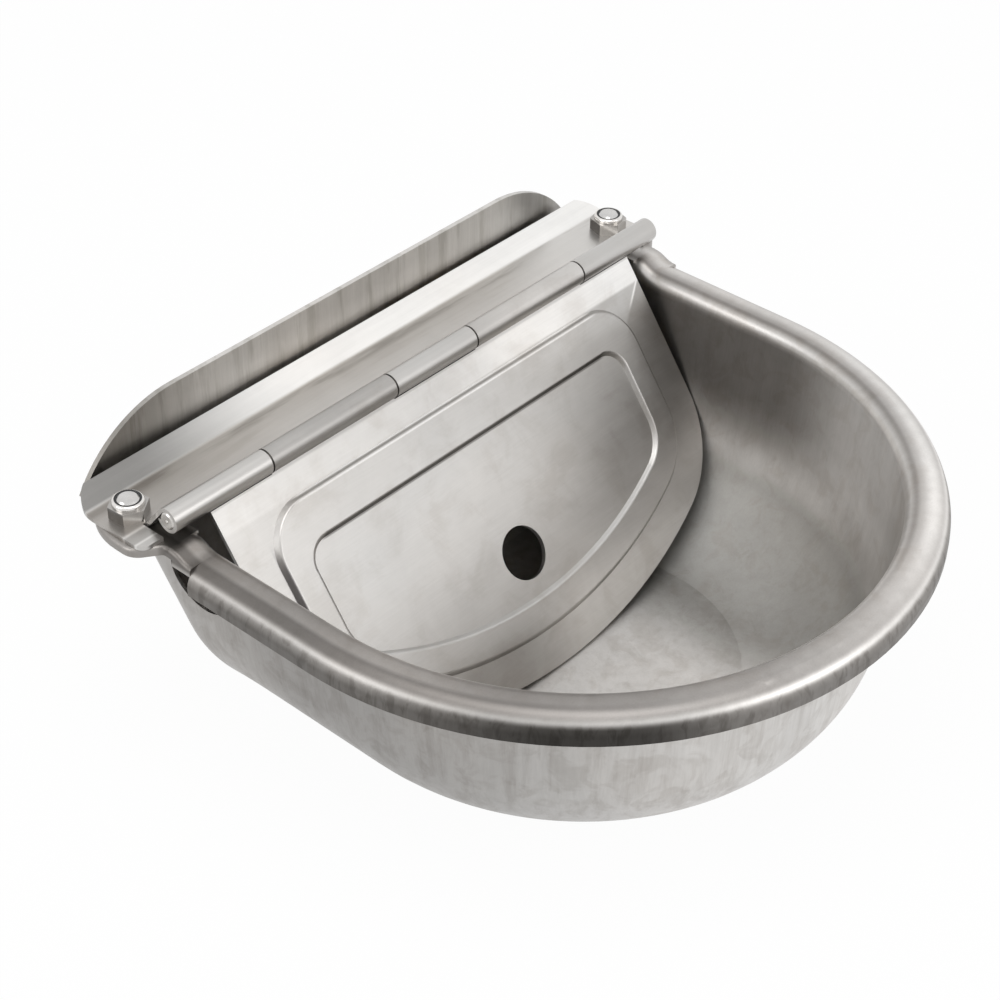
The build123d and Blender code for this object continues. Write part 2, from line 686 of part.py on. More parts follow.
# Rubber washers moulded to the slope and curve of the bowl's wall
with BuildPart() as inner_seal_washer:
    with BuildSketch(valve_side.offset(flange_face)):
        Circle(seal_r)
        Circle(seal_bore, mode=Mode.SUBTRACT)
    extrude(amount=nut_face - flange_face)
    add(hollow.part.moved(Location((-fit, 0, 0))), mode=Mode.INTERSECT)
inner_seal_washer.part.label = "inner_seal_washer"
export_step(inner_seal_washer.part, "parts/inner_seal_washer.step")

with BuildPart() as outer_seal_washer:
    with BuildSketch(valve_side.offset(flange_face)):
        Circle(seal_r)
        Circle(seal_bore, mode=Mode.SUBTRACT)
    extrude(amount=nut_face - flange_face)
    add(outside.part.moved(Location((fit, 0, 0))), mode=Mode.SUBTRACT)
outer_seal_washer.part.label = "outer_seal_washer"
export_step(outer_seal_washer.part, "parts/outer_seal_washer.step")

with BuildPart() as valve_seat:
    turned(seat_face, seat_back, seat_r - fit)
    turned(seat_face, seat_back, orifice_r, Mode.SUBTRACT)
    chamfer(valve_seat.edges().filter_by(GeomType.CIRCLE).group_by(Axis.X)[-1].sort_by(Edge.length)[0], seat_chamfer)
valve_seat.part.label = "valve_seat"
export_step(valve_seat.part, "parts/valve_seat.step")

nose_x = pivot_x - piston_travel
with BuildPart() as valve_piston:
    turned(piston_back, piston_front, piston_r)
    turned(disc_face - disc_thick, piston_front, disc_r, Mode.SUBTRACT)
    # pocket for the lever's nose, wider below where the neck leans
    with BuildSketch(valve_face.offset(-slot_half)):
        with Locations((nose_x, valve_z + nose_r + nose_room)):
            Rectangle(nose_slot, 3 * piston_r, align=(Align.CENTER, Align.MAX))
        with Locations((nose_x - nose_slot / 2, valve_z - piston_r / 2)):
            Rectangle(nose_slot + neck_room, 2 * piston_r, align=(Align.MIN, Align.MAX))
    extrude(amount=2 * slot_half, mode=Mode.SUBTRACT)
valve_piston.part.label = "valve_piston"
export_step(valve_piston.part, "parts/valve_piston.step")

with BuildPart() as seal_disc:
    turned(disc_face - disc_thick, disc_face, disc_r - fit)
seal_disc.part.label = "seal_disc"
export_step(seal_disc.part, "parts/seal_disc.step")

with BuildPart() as valve_cap:
    turned(barrel_end - cap_thick, barrel_end, barrel_r)
    turned(barrel_end, piston_back - cap_gap, piston_r)
    chamfer(valve_cap.edges().filter_by(GeomType.CIRCLE).sort_by(Axis.X)[0], cap_chamfer)
    with Locations((barrel_end - cap_thick, valve_y, valve_z)):
        Box(2 * cap_slot_depth, 2 * barrel_r, cap_slot_width, mode=Mode.SUBTRACT)
valve_cap.part.label = "valve_cap"
export_step(valve_cap.part, "parts/valve_cap.step")

pin_end = slot_half + cheek_thick
with BuildPart() as lever_pin:
    with Locations(valve_face):
        with Locations((pivot_x, pivot_z)):
            Cylinder(pivot_r - fit / 2, 2 * (pin_end + rivet_stand))
    with BuildSketch(valve_face.offset(pin_end)):
        with Locations((pivot_x, pivot_z)):
            Circle(rivet_head_r)
    extrude(amount=rivet_head)
lever_pin.part.label = "lever_pin"
export_step(lever_pin.part, "parts/lever_pin.step")

# Lever, float and nuts hang below level by the arm's drop
arm_frame = Plane(
    origin=(pivot_x, valve_y, pivot_z),
    x_dir=(-cos(radians(arm_drop)), 0, -sin(radians(arm_drop))),
    z_dir=(0, 1, 0),
)
arm_end = float_reach + float_x / 2 + float_nut_thick + rod_stand
rod_start = pivot_r + pivot_play + rod_bite


def along_arm(distance):
    """Plane across the arm, a distance from the pivot."""
    there = arm_frame.origin + arm_frame.x_dir * distance
    return Plane(origin=there, x_dir=(0, 1, 0), z_dir=arm_frame.x_dir)


with BuildPart() as float_arm:
    with BuildSketch(arm_frame.offset(-lever_half)):
        Circle(eye_r)
        with Locations((0, nose_reach)):
            Circle(nose_r)
        Rectangle(2 * neck_half, nose_reach, align=(Align.CENTER, Align.MIN))
        Circle(pivot_r + pivot_play, mode=Mode.SUBTRACT)
    extrude(amount=2 * lever_half)
    with BuildSketch(along_arm(rod_start)):
        Circle(rod_r)
    extrude(amount=arm_end - rod_start)
float_arm.part.label = "float_arm"
export_step(float_arm.part, "parts/float_arm.step")

float_start = float_reach - float_x / 2
with BuildPart() as float_body:
    with BuildSketch(along_arm(float_start)):
        RectangleRounded(float_w, float_h, float_round)
    extrude(amount=float_x)
    chamfer(float_body.faces().sort_by(Axis(arm_frame.origin, arm_frame.x_dir))[0].edges(), float_edge)
    chamfer(float_body.faces().sort_by(Axis(arm_frame.origin, arm_frame.x_dir))[-1].edges(), float_edge)
    with BuildSketch(along_arm(float_start)):
        Circle(rod_r + fit)
    extrude(amount=float_x, mode=Mode.SUBTRACT)
float_body.part.label = "float"
export_step(float_body.part, "parts/float.step")

with BuildPart() as float_nuts:
    for start in (float_start - float_nut_thick, float_start + float_x):
        with BuildSketch(along_arm(start)):
            RegularPolygon(float_nut_flats / 2, 6, major_radius=False)
            Circle(rod_r + fit, mode=Mode.SUBTRACT)
        extrude(amount=float_nut_thick)
float_nuts.part.label = "float_nuts"
export_step(float_nuts.part, "parts/float_nuts.step")
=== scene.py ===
import json
from functools import reduce
from math import cos, radians, sin
from operator import mul
import bpy
from mathutils import Matrix, Vector

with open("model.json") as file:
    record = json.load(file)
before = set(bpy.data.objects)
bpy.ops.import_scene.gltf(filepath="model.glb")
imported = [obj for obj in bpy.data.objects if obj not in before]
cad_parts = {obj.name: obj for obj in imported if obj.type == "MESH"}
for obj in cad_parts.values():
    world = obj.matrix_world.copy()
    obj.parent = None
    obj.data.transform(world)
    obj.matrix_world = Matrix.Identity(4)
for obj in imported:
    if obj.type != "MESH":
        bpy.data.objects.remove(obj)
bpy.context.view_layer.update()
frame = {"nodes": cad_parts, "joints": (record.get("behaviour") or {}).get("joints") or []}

nodes = frame["nodes"]
bpy.context.scene.view_settings.view_transform = "Standard"
print("frame loaded:", len(nodes), "nodes")

cameraView = {
    "target": (-0.0199, 0.0273, 0.0783),
    "azimuth": -49.1,        # degrees, 0 looks along +Y
    "elevation": 37.7,
    "roll": 0.9,
    "distance": 0.8046,
    "lens": 79.4,            # millimetres
    "nearest": 0.01,         # nothing closer than this is drawn
}


def placeCamera(view):
    az, el, roll = (radians(view[k]) for k in ("azimuth", "elevation", "roll"))
    back = Vector((sin(az) * cos(el), -cos(az) * cos(el), sin(el)))
    level = Vector((cos(az), sin(az), 0))
    lift = back.cross(level)
    right = level * cos(roll) + lift * sin(roll)
    up = back.cross(right)
    place = Vector(view["target"]) + back * view["distance"]
    data = bpy.data.cameras.new("camera")
    data.lens = view["lens"]
    data.clip_start = view["nearest"]
    camera = bpy.data.objects.new("camera", data)
    camera.matrix_world = Matrix((
        (right.x, up.x, back.x, place.x),
        (right.y, up.y, back.y, place.y),
        (right.z, up.z, back.z, place.z),
        (0, 0, 0, 1),
    ))
    bpy.context.scene.collection.objects.link(camera)
    bpy.context.scene.camera = camera


placeCamera(cameraView)
print("camera placed")

studio = {
    "floorSize": 12,
    "floorHeight": -0.0003,     # just under the bowl's bottom
    "floorColour": (0.90, 0.90, 0.89),
    "floorGlow": 0.96,          # share of plain white that the camera sees in the floor
    "skyStrength": 0.60,
    "skyColour": (0.97, 0.985, 1.0),
    "lamps": {
        # name: (place, aim, size, watts)
        "top": ((-0.20, -0.10, 1.50), (0, 0, 0.05), 1.0, 7.0),
        "left": ((-1.30, 0.50, 0.90), (0, 0, 0.05), 0.9, 5.0),
        "front": ((0.40, -1.40, 0.80), (0, 0, 0.05), 0.9, 4.0),
    },
}


def addLamp(name, place, aim, size, watts):
    data = bpy.data.lights.new(name, "AREA")
    data.shape = "DISK"
    data.size = size
    data.energy = watts
    lamp = bpy.data.objects.new(name, data)
    lamp.location = place
    lamp.rotation_euler = (Vector(aim) - Vector(place)).to_track_quat("-Z", "Y").to_euler()
    bpy.context.scene.collection.objects.link(lamp)


for name, facts in studio["lamps"].items():
    addLamp(name, *facts)


class Wire:
    # one output socket that can stand in plain sums

    def __init__(self, paint, socket):
        self.paint = paint
        self.socket = socket

    def beside(self, name):
        # another output of the same node
        return Wire(self.paint, self.socket.node.outputs[name])

    def __add__(self, other):
        return self.paint.maths("ADD", self, other)

    def __sub__(self, other):
        return self.paint.maths("SUBTRACT", self, other)

    def __rsub__(self, other):
        return self.paint.maths("SUBTRACT", other, self)

    def __mul__(self, other):
        return self.paint.maths("MULTIPLY", self, other)

    __radd__ = __add__
    __rmul__ = __mul__


class Paint:
    # the node tree of one material or of the world

    def __init__(self, tree):
        self.tree = tree
        tree.nodes.clear()

    def put(self, socket, value):
        if isinstance(value, Wire):
            self.tree.links.new(value.socket, socket)
        elif isinstance(value, tuple) and socket.type == "RGBA":
            socket.default_value = (*value, 1)
        else:
            socket.default_value = value

    def add(self, kind, settings=None, sockets=None, output=0):
        # every node comes from here: its type, its settings, then its sockets by name or number
        node = self.tree.nodes.new("ShaderNode" + kind)
        for name, value in (settings or {}).items():
            setattr(node, name, value)
        for name, value in (sockets or {}).items():
            self.put(node.inputs[name], value)
        return Wire(self, node.outputs[output]) if node.outputs else None

    def maths(self, operation, *values):
        return self.add("Math", {"operation": operation}, dict(enumerate(values)))

    def most(self, values):
        # the largest of some shares, 0 where there are none
        largest = 0.0
        for value in values:
            largest = self.maths("MAXIMUM", largest, value)
        return largest

    def mix(self, factor, first, second, blend="MIX"):
        # inputs 0, 6 and 7 and output 2 are the node's factor and colours
        settings = {"data_type": "RGBA", "clamp_factor": True, "blend_type": blend}
        return self.add("Mix", settings, {0: factor, 6: first, 7: second}, output=2)

    def fade(self, value, low, high):
        # 0 below low, 1 above high, smooth between; low may be the larger
        settings = {"interpolation_type": "SMOOTHSTEP"}
        return self.add("MapRange", settings, {"Value": value, "From Min": low, "From Max": high})

    def band(self, value, low, high, soft):
        return self.fade(value, low - soft, low + soft) * self.fade(value, high + soft, high - soft)

    def split(self, vector):
        first = self.add("SeparateXYZ", None, {0: vector})
        return [first.beside(axis) for axis in "XYZ"]

    def place(self):
        return self.add("TexCoord", output="Object")

    def facing(self):
        return self.split(self.add("NewGeometry", output="Normal"))

    def turned(self, vector, scale=(1, 1, 1), turn=(0, 0, 0)):
        facts = {"Vector": vector, "Scale": scale, "Rotation": tuple(radians(v) for v in turn)}
        return self.add("Mapping", None, facts)

    def noise(self, vector, scale, detail=4.0, roughness=0.6, distortion=0.0):
        sockets = {"Vector": vector, "Scale": scale, "Detail": detail,
                   "Roughness": roughness, "Distortion": distortion}
        return self.add("TexNoise", None, sockets)

    def surface(self, colour, metal, rough, height, depth):
        bump = self.add("Bump", None, {"Height": height, "Distance": depth, "Strength": 1.0})
        sockets = {"Base Color": colour, "Metallic": metal, "Roughness": rough, "Normal": bump}
        self.finish(self.add("BsdfPrincipled", None, sockets))

    def finish(self, shader):
        self.add("OutputMaterial", None, {0: shader})

    def seen(self):
        # 1 where the camera looks, straight on or through a reflection or a glass
        path = self.add("LightPath")
        rays = ("Is Camera Ray", "Is Glossy Ray", "Is Transmission Ray")
        return self.most([path.beside(ray) for ray in rays])


def newMaterial(name):
    material = bpy.data.materials.new(name)
    material.use_nodes = True
    return material, Paint(material.node_tree)


def buildFloor():
    bpy.ops.mesh.primitive_plane_add(size=studio["floorSize"], location=(0, 0, studio["floorHeight"]))
    floor = bpy.context.object
    floor.name = "floor"
    material, paint = newMaterial("floor")
    matt = paint.add("BsdfDiffuse", None, {"Color": studio["floorColour"]})
    white = paint.add("Emission", None, {"Color": (1, 1, 1), "Strength": 1.0})
    share = paint.seen() * studio["floorGlow"]
    paint.finish(paint.add("MixShader", None, {0: share, 1: matt, 2: white}))
    floor.data.materials.append(material)


def buildSky():
    world = bpy.data.worlds.new("sky")
    world.use_nodes = True
    bpy.context.scene.world = world
    paint = Paint(world.node_tree)
    soft = paint.add("Background", None, {"Color": studio["skyColour"], "Strength": studio["skyStrength"]})
    white = paint.add("Background", None, {"Color": (1, 1, 1), "Strength": 1.0})
    shown = paint.add("MixShader", None, {0: paint.seen(), 1: soft, 2: white})
    paint.add("OutputWorld", None, {0: shown})


buildFloor()
buildSky()
print("studio ready")

noiseMiddle = 0.5


def swing(noise, amount):
    # how far a noise strays to either side of its middle
    return (noise - noiseMiddle) * amount


def zoneShares(paint, measures, zones):
    # a zone is the product of its parts: an earlier zone by name, a plain share,
    # fade (measure, where it is 0, where it is 1), band (measure, low, high, softness),
    # but (all except that much of a zone) or most (the strongest of some zones)
    shares = {}

    def partShare(part):
        if isinstance(part, str):
            return shares[part]
        if isinstance(part, float):
            return part
        kind, *facts = part
        if kind == "most":
            return paint.most([shares[zone] for zone in facts])
        if kind == "but":
            zone, amount = facts
            return 1.0 - shares[zone] * amount
        measure, *limits = facts
        ramp = paint.band if kind == "band" else paint.fade
        return ramp(measures[measure], *limits)

    for zone, parts in zones.items():
        shares[zone] = reduce(mul, [partShare(part) for part in parts])
    return shares


def plainMeasures(paint, place):
    return dict(zip("xyz", paint.split(place)))


sheetLook = {
    "turn": (0, 0, 0), "brushing": (1, 1, 0.03), "streakScale": 260, "grainScale": 1400,
    "cloudScale": 22, "smudgeRatio": 3.3, "tintRatio": 0.6,      # ratios of scale to the clouds
    "streaks": 0.7, "clouds": 0.8, "grain": 0.5, "smudges": 0.5, "warmth": 0.9, "warmShare": 0.35,
    "dark": (0.40, 0.395, 0.385), "light": (0.60, 0.598, 0.59), "warm": (1.0, 0.955, 0.915),
    "roughness": 0.34, "roughVaries": 0.10, "dullRoughness": 0.30, "bump": 0.00002, "streakHeight": 0.5,
    "measures": plainMeasures,
    "noises": {},      # name: (stretch, settings), more measures for the zones
    "zones": {},       # places on the piece, in metres of the part's own frame
    "tones": {},       # zone: what the colour is multiplied by there, mostly painted shade and painted highlights
    "dull": {},        # zone: how much of its metal shine is lost
}


def steel(name, look):
    # satin sheet: brushed streaks, soft clouds, smudges and fine grain, then the tones of its zones, most
    # of them painted shade and painted highlights
    material, paint = newMaterial(name)
    place = paint.place()
    brushed = paint.turned(paint.turned(place, turn=look["turn"]), look["brushing"])
    streaks = paint.noise(brushed, look["streakScale"], detail=5.0)
    grain = paint.noise(brushed, look["grainScale"], detail=3.0)
    cloudScale = look["cloudScale"]
    smudgeScale, tintScale = cloudScale * look["smudgeRatio"], cloudScale * look["tintRatio"]
    clouds = paint.noise(place, cloudScale, detail=4.0, roughness=0.5, distortion=0.6)
    smudges = paint.noise(place, smudgeScale, detail=5.0, roughness=0.62, distortion=1.2)
    tint = paint.noise(place, tintScale, detail=2.0, roughness=0.5, distortion=0.3)
    tone = swing(streaks, look["streaks"]) + swing(clouds, look["clouds"]) + swing(grain, look["grain"])
    tone = tone + swing(smudges, look["smudges"]) + noiseMiddle
    colour = paint.mix(tone, look["dark"], look["light"])
    warmed = paint.mix(1.0, colour, look["warm"], "MULTIPLY")
    colour = paint.mix(swing(tint, look["warmth"]) + look["warmShare"], colour, warmed)

    measures = look["measures"](paint, place)
    for noise, (stretch, settings) in look["noises"].items():
        measures[noise] = paint.noise(paint.turned(place, stretch), **settings)
    shares = zoneShares(paint, measures, look["zones"])
    for zone, shade in look["tones"].items():
        colour = paint.mix(shares[zone], colour, paint.mix(1.0, colour, shade, "MULTIPLY"))
    dull = paint.most([shares[zone] * amount for zone, amount in look["dull"].items()])

    rough = look["roughness"] + swing(streaks, look["roughVaries"]) + swing(clouds, look["roughVaries"])
    rough = rough + dull * look["dullRoughness"]
    paint.surface(colour, 1.0 - dull, rough, grain + streaks * look["streakHeight"], look["bump"])
    return material


bowlLook = {
    "roughness": 0.42, "light": (0.96, 0.955, 0.945), "dark": (0.70, 0.69, 0.675),
    "roundCentre": 0.0095,       # y of the middle of the round front
    "edge": 0.1360,              # the rim's outer edge, from that middle
    "top": 0.0930,               # the rim's height
    "lightSide": (0.75, -0.66),  # from the dark side to the light one, in plan
    "lipSlope": 0.25,            # how the painted shade on the front left of the lip runs in plan
    "faceSlope": 0.30,           # and that of the rim's face
    "noises": {
        "patches": ((1, 1, 1), {"scale": 95, "detail": 3.0, "distortion": 0.8}),
        "blots": ((1, 1, 0.3), {"scale": 230, "detail": 3.0, "distortion": 0.4}),
        "runs": ((1, 1, 0.05), {"scale": 200, "detail": 5.0, "roughness": 0.65}),
    },
    "zones": {
        "inside": [("fade", "outward", 0.004, -0.004)],
        "below": [("fade", "fromTop", -0.003, -0.007)],
        "outside": [("fade", "outward", -0.004, 0.004), "below"],
        "leftward": [("fade", "lightward", 0.06, -0.11)],
        "patched": [("fade", "patches", 0.46, 0.66)],
        "leftOutside": ["outside", "leftward"],
        "rearOutside": ["leftOutside", ("fade", "y", 0.040, 0.080)],
        "outerRuns": ["outside", ("fade", "runs", 0.44, 0.68)],
        "outerPatches": ["outside", "patched"],
        "innerPatches": ["inside", "patched"],
        # zones of painted shade and painted highlights on the rim and lip
        "face": [("fade", "fromTop", -0.0030, -0.0010), ("fade", "fromEdge", -0.016, -0.013)],
        "crown": [("band", "fromEdge", -0.0090, -0.0040, 0.0025), ("fade", "x", 0.0, 0.070)],
        "faceOffCrown": ["face", ("but", "crown", 0.7)],
        "brightFace": ["face", ("fade", "x", 0.110, 0.060), ("fade", "y", 0.020, -0.030)],
        "rightFace": ["face", ("fade", "x", 0.080, 0.110), ("fade", "y", -0.030, 0.000)],
        "frontLeftFace": ["face", ("fade", "faceLine", 0.030, -0.030),
                          ("fade", "x", 0.020, -0.060)],
        "innerFace": ["face", ("fade", "fromEdge", -0.008, -0.015)],
        "leftFace": ["face", "leftward"],
        "innerBend": [("band", "fromEdge", -0.0165, -0.0120, 0.0010), ("fade", "fromTop", -0.006, -0.004),
                      ("fade", "x", 0.0, 0.060)],
        "leftShoulder": [("band", "fromEdge", -0.0075, -0.0006, 0.0012),
                         ("fade", "fromTop", -0.0075, -0.0045), "leftward"],
        "lip": [("fade", "fromEdge", -0.0028, -0.0010), ("fade", "fromTop", -0.0015, -0.0045)],
        "frontLip": ["lip", ("fade", "x", -0.095, -0.050), ("fade", "y", -0.060, -0.100)],
        "frontLeftLip": ["lip", ("fade", "lipLine", 0.030, -0.050), ("fade", "x", -0.050, -0.090)],
        "lipBlots": ["lip", ("fade", "blots", 0.48, 0.64)],
        # zones of painted shade inside the bowl
        "wall": ["inside", "below", ("fade", "z", 0.030, 0.062)],
        "rightWall": ["wall", ("fade", "x", -0.02, 0.06), ("fade", "y", -0.045, 0.005)],
        "frontRight": ["inside", "below", ("fade", "x", 0.055, 0.105), ("fade", "y", 0.000, -0.050),
                       ("fade", "z", 0.032, 0.056)],
        "lowFront": ["inside", ("fade", "y", -0.015, -0.055), ("fade", "z", 0.060, 0.035),
                     ("fade", "x", 0.030, 0.070)],
        "floor": [("fade", "z", 0.050, 0.025), ("fade", "up", 0.1, 0.5), ("fade", "x", 0.020, 0.060)],
        "bottom": ["inside", ("fade", "z", 0.045, 0.012)],
        "leftBottom": ["bottom", ("fade", "x", 0.060, 0.010)],
    },
    "tones": {
        # the outside darker overall; painted shade on its dark left side, lifted by painted light towards
        # the rear
        "outside": (0.80, 0.80, 0.80),
        "leftOutside": (0.47, 0.465, 0.46),
        "rearOutside": (1.30, 1.30, 1.30),
        "outerRuns": (0.87, 0.86, 0.85),
        "outerPatches": (0.88, 0.87, 0.86),
        # painted shade on the rim's face except a painted highlight along its crown, more on its right,
        # front left, inner and left parts, on the inner bend and the left shoulder; a painted highlight on
        # the front of the face; painted shade on the lip, darker at the front and darkest at the front
        # left
        "faceOffCrown": (0.56, 0.55, 0.545),
        "innerBend": (0.70, 0.695, 0.69),
        "brightFace": (1.15, 1.15, 1.15),
        "rightFace": (0.86, 0.855, 0.85),
        "frontLeftFace": (0.66, 0.655, 0.65),
        "innerFace": (0.80, 0.79, 0.78),
        "leftFace": (0.66, 0.65, 0.64),
        "leftShoulder": (0.52, 0.515, 0.51),
        "lip": (0.52, 0.51, 0.50),
        "frontLip": (0.70, 0.695, 0.69),
        "frontLeftLip": (0.20, 0.197, 0.193),
        "lipBlots": (0.74, 0.73, 0.72),
        # painted shade inside the bowl: on the upper wall, more on the right, at the low front, on the
        # inner floor and at the left bottom
        "wall": (0.62, 0.61, 0.60),
        "rightWall": (0.44, 0.435, 0.43),
        "lowFront": (0.85, 0.845, 0.84),
        "floor": (0.42, 0.42, 0.41),
        "leftBottom": (0.74, 0.735, 0.73),
        "innerPatches": (0.93, 0.915, 0.90),
    },
    "dull": {"frontRight": 0.60, "bottom": 0.30},
}


def bowlMeasures(paint, place):
    x, y, z = paint.split(place)
    facingX, facingY, facingZ = paint.facing()
    behind = y - bowlLook["roundCentre"]
    ahead = paint.maths("MINIMUM", behind, 0.0)      # the sides run straight behind the round front
    lightX, lightY = bowlLook["lightSide"]
    return {
        "x": x, "y": y, "z": z, "up": facingZ,
        "outward": facingX * x + facingY * behind,
        "fromEdge": paint.maths("SQRT", x * x + ahead * ahead) - bowlLook["edge"],
        "fromTop": z - bowlLook["top"],
        "lightward": x * lightX + y * lightY,
        "lipLine": y - x * bowlLook["lipSlope"],
        "faceLine": y - x * bowlLook["faceSlope"],
    }


plateLook = {
    "streaks": 0.9, "light": (0.7626, 0.7533, 0.7347), "dark": (0.5208, 0.5115, 0.4929),
    "noises": {"marks": ((1, 1, 0.10), {"scale": 190, "detail": 4.0, "roughness": 0.65})},
    "zones": {
        "leftEnd": [("fade", "x", -0.060, -0.118)],
        "rightEnd": [("fade", "x", 0.090, 0.128)],
        "marked": [("fade", "marks", 0.50, 0.66)],
    },
    # painted shade towards both ends of the plate, more at the left; the marks are random tone
    "tones": {
        "leftEnd": (0.47, 0.46, 0.445),
        "rightEnd": (0.64, 0.635, 0.63),
        "marked": (0.83, 0.825, 0.81),
    },
}

stripLook = {
    "brushing": (0.03, 1, 1), "light": (0.94, 0.94, 0.93), "dark": (0.78, 0.78, 0.77),
    "noises": {"smears": ((0.12, 1, 1), {"scale": 130, "detail": 4.0})},
    "zones": {
        "leftEnd": [("fade", "x", -0.030, -0.120)],
        "leftRear": [("fade", "y", 0.1115, 0.1135), "leftEnd"],
        "flat": [("band", "y", 0.0925, 0.1120, 0.0010)],
        "flatOffRight": ["flat", ("fade", "x", 0.100, 0.040)],
        "leftFlat": ["flat", "leftEnd"],
        "flatSmears": ["flat", ("fade", "smears", 0.52, 0.68)],
        "ramp": [("band", "y", 0.0862, 0.0915, 0.0008)],
        "frontEdge": [("fade", "y", 0.0862, 0.0850)],
        "foldSmears": [("band", "y", 0.1075, 0.1115, 0.0015), ("fade", "smears", 0.44, 0.58)],
    },
    # painted shade on the left rear band, the flat (more at the left, less at its right end), the ramp and
    # the front edge; the smears are random tone
    "tones": {
        "leftRear": (0.28, 0.278, 0.275),
        "flat": (0.72, 0.71, 0.70),
        "flatOffRight": (0.86, 0.855, 0.85),
        "ramp": (0.50, 0.495, 0.49),
        "leftFlat": (0.80, 0.79, 0.78),
        "frontEdge": (0.62, 0.615, 0.61),
        "foldSmears": (0.72, 0.71, 0.70),
        "flatSmears": (0.92, 0.91, 0.90),
    },
}

lidHinge = next(joint for joint in frame["joints"] if joint["name"] == "lid_hinge")
lidAngle = 54.0      # degrees down from level
lidLook = {
    "turn": (-lidAngle, 0, 0), "brushing": (0.05, 1, 1), "streaks": 0.35, "roughness": 0.38,
    "light": (0.98, 0.98, 0.97), "dark": (0.76, 0.755, 0.745),
    "middle": -0.005,            # x of the middle of the painted highlight in the lid's middle
    "creaseAcross": 0.1165,      # where the corner creases pass, from the middle and from the hinge
    "creaseAlong": 0.013,
    "creaseSlope": 1.15,
    "noises": {"mottle": ((1, 1, 1), {"scale": 60, "detail": 5.0, "roughness": 0.62, "distortion": 0.5})},
    "zones": {
        "side": [("fade", "pastCrease", -0.0010, 0.0015), ("fade", "across", 0.092, 0.100)],
        "rightHalf": [("fade", "x", 0.0, 0.01)],
        "line": [("band", "pastCrease", -0.0006, 0.0006, 0.0008), "rightHalf",
                 ("fade", "along", 0.026, 0.020)],
        "rightSide": ["side", "rightHalf", ("fade", "along", 0.095, 0.045), ("but", "line", 1.0)],
        "ridgeSpan": [("fade", "across", 0.086, 0.078)],
        "upperRidge": [("band", "along", 0.0160, 0.0166, 0.0003), "ridgeSpan"],
        "lowerRidge": [("band", "along", 0.0178, 0.0184, 0.0003), "ridgeSpan"],
        "innerStep": [("band", "along", 0.0330, 0.0350, 0.0003), ("fade", "across", 0.081, 0.076)],
        "knuckle": [("fade", "along", 0.0065, 0.0055)],
        "rightField": [("fade", "x", 0.010, 0.085), ("fade", "along", 0.105, 0.050),
                       ("fade", "along", 0.020, 0.030)],
        "low": [("fade", "along", 0.096, 0.112)],
        "lowLeft": ["low", ("fade", "x", 0.020, -0.030)],
        "leftRing": [("band", "x", -0.1000, -0.0981, 0.0004), ("fade", "along", 0.024, 0.042)],
        "mottled": [("fade", "mottle", 0.46, 0.68)],
        # the parts of the lid kept, some only in part, out of the painted shade: painted highlights on the
        # top margin, the middle, the low margin, the crease line and the two ridges
        "topMargin": [("fade", "along", 0.0165, 0.0150), ("but", "side", 1.0)],
        "bareTop": ["topMargin", 0.15],
        "bareTopRight": ["topMargin", ("fade", "x", -0.020, 0.060), 0.8],
        "bareMiddle": [("fade", "fromMiddle", 0.060, 0.010), ("band", "along", 0.036, 0.075, 0.015), 0.10],
        "bareLow": ["low", 0.45],
        "bare": [("most", "bareTop", "bareTopRight", "bareMiddle", "bareLow", "line",
                  "upperRidge", "lowerRidge")],
        "paintedShade": [("but", "bare", 1.0)],
    },
    # painted shade over the lid except its painted highlights, more on the right side and field, the low
    # left and the knuckle, with painted shadow lines on the ring's left slope and its inner step; the
    # mottling is random tone
    "tones": {
        "paintedShade": (0.57, 0.565, 0.56),
        "rightSide": (0.78, 0.77, 0.76),
        "leftRing": (0.50, 0.50, 0.53),
        "innerStep": (0.42, 0.415, 0.41),
        "knuckle": (0.74, 0.735, 0.73),
        "rightField": (0.78, 0.77, 0.76),
        "lowLeft": (0.50, 0.49, 0.48),
        "mottled": (0.92, 0.91, 0.90),
    },
    "dull": {"upperRidge": 0.6, "lowerRidge": 0.6},
}


def lidMeasures(paint, place):
    # along is the way down the lid from its hinge, x runs across it
    x, y, z = paint.split(place)
    turn = radians(lidAngle)
    hingeY, hingeZ = lidHinge["pos_m"][1:]
    along = (hingeY - y) * cos(turn) + (hingeZ - z) * sin(turn)
    across = paint.maths("ABSOLUTE", x)
    creaseRun = (along - lidLook["creaseAlong"]) * lidLook["creaseSlope"]
    return {
        "x": x, "along": along, "across": across,
        "pastCrease": across - lidLook["creaseAcross"] + creaseRun,
        "fromMiddle": paint.maths("ABSOLUTE", x - lidLook["middle"]),
    }


nutLook = {
    "light": (0.88, 0.87, 0.85), "dark": (0.62, 0.61, 0.60),
    "roughness": 0.20, "cloudScale": 190, "streaks": 0.3,
    "lightFrom": (-0.35, -0.8, 0.5),
    "zones": {
        "flats": [("fade", "z", 0.1030, 0.1020)],      # all below the bright collar
        "lit": [("fade", "lightward", 0.35, 0.95)],
        "darkFlats": ["flats", ("but", "lit", 1.0)],
        "litFlats": ["flats", "lit"],
    },
    "tones": {
        "darkFlats": (0.22, 0.215, 0.21),
        "litFlats": (0.80, 0.79, 0.78),
    },
}


def nutMeasures(paint, place):
    facingX, facingY, facingZ = paint.facing()
    lightX, lightY, lightZ = nutLook["lightFrom"]
    lightward = facingX * lightX + facingY * lightY + facingZ * lightZ
    return {**plainMeasures(paint, place), "lightward": lightward}


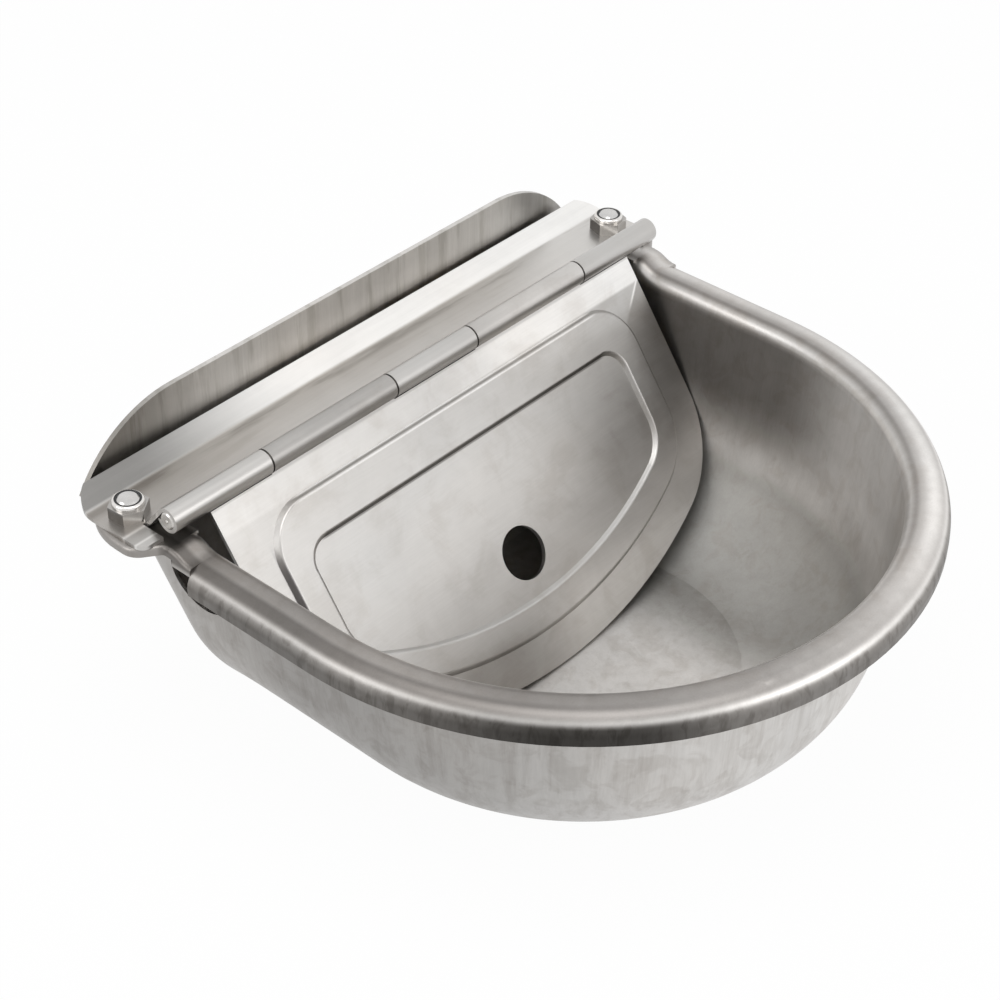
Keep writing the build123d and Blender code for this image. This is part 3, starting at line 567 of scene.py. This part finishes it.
pinLook = {"light": (0.72, 0.71, 0.69), "roughness": 0.25}
steels = {
    # node: what differs from the plain sheet
    "bowl": {**bowlLook, "measures": bowlMeasures},
    "back_plate": plateLook,
    "hinge_strip": stripLook,
    "lid": {**lidLook, "measures": lidMeasures},
    "hinge_pin": {**pinLook, "brushing": (0.02, 1, 1)},
    "lever_pin": {**pinLook, "brushing": (1, 0.02, 1)},
    "strip_bolts": {"light": (0.70, 0.70, 0.69), "dark": (0.52, 0.52, 0.52), "roughness": 0.24,
                    "cloudScale": 160, "streaks": 0.3},
    "strip_washers": {"light": (0.66, 0.66, 0.66), "cloudScale": 120, "streaks": 0.2},
    "strip_nuts": {**nutLook, "measures": nutMeasures},
}


def lay(name, material):
    nodes[name].data.materials.clear()
    nodes[name].data.materials.append(material)


for name, look in steels.items():
    lay(name, steel(name, {**sheetLook, **look}))
print("steel laid on")


def moulded(name, look):
    # plastic, rubber or brass: soft mottling and fine texture
    material, paint = newMaterial(name)
    place = paint.place()
    mottle = paint.noise(place, look["mottleScale"], detail=4.0, roughness=0.55, distortion=0.4)
    fine = paint.noise(place, look["fineScale"], detail=3.0)
    tone = swing(mottle, look["mottle"]) + swing(fine, look["fine"]) + noiseMiddle
    colour = paint.mix(tone, look["dark"], look["light"])
    rough = look["roughness"] + swing(mottle, look["roughVaries"])
    paint.surface(colour, look["metal"], rough, fine, look["bump"])
    return material


brass = {
    "mottleScale": 60, "fineScale": 900, "mottle": 1.0, "fine": 0.5, "bump": 0.00003, "metal": 1.0,
    "dark": (0.42, 0.26, 0.09), "light": (0.72, 0.50, 0.22), "roughness": 0.36, "roughVaries": 0.2,
}
turnedBrass = {**brass, "light": (0.78, 0.56, 0.26), "roughness": 0.30}
rubber = {
    "mottleScale": 90, "fineScale": 1500, "mottle": 0.8, "fine": 0.6, "bump": 0.00002, "metal": 0.0,
    "dark": (0.010, 0.010, 0.011), "light": (0.022, 0.022, 0.023), "roughness": 0.62, "roughVaries": 0.2,
}
glossRubber = {**rubber, "dark": (0.006, 0.007, 0.008), "light": (0.014, 0.015, 0.017), "roughness": 0.45}
whitePlastic = {
    "mottleScale": 45, "fineScale": 1200, "mottle": 0.8, "fine": 0.3, "bump": 0.00001, "metal": 0.0,
    "dark": (0.66, 0.64, 0.58), "light": (0.76, 0.75, 0.70), "roughness": 0.42, "roughVaries": 0.15,
}
agedPlastic = {**whitePlastic, "dark": (0.60, 0.58, 0.51), "light": (0.70, 0.68, 0.62), "roughness": 0.50}
mouldings = {
    "nut_inserts": glossRubber,
    "valve_body": brass,
    "inlet_locknut": turnedBrass,
    "inner_seal_washer": rubber,
    "outer_seal_washer": rubber,
    "valve_seat": whitePlastic,
    "valve_piston": whitePlastic,
    "seal_disc": rubber,
    "valve_cap": turnedBrass,
    "float_arm": brass,
    "float": agedPlastic,
    "float_nuts": {**brass, "roughness": 0.30},
}
for name, look in mouldings.items():
    lay(name, moulded(name, look))
print("plastic, rubber and brass laid on")
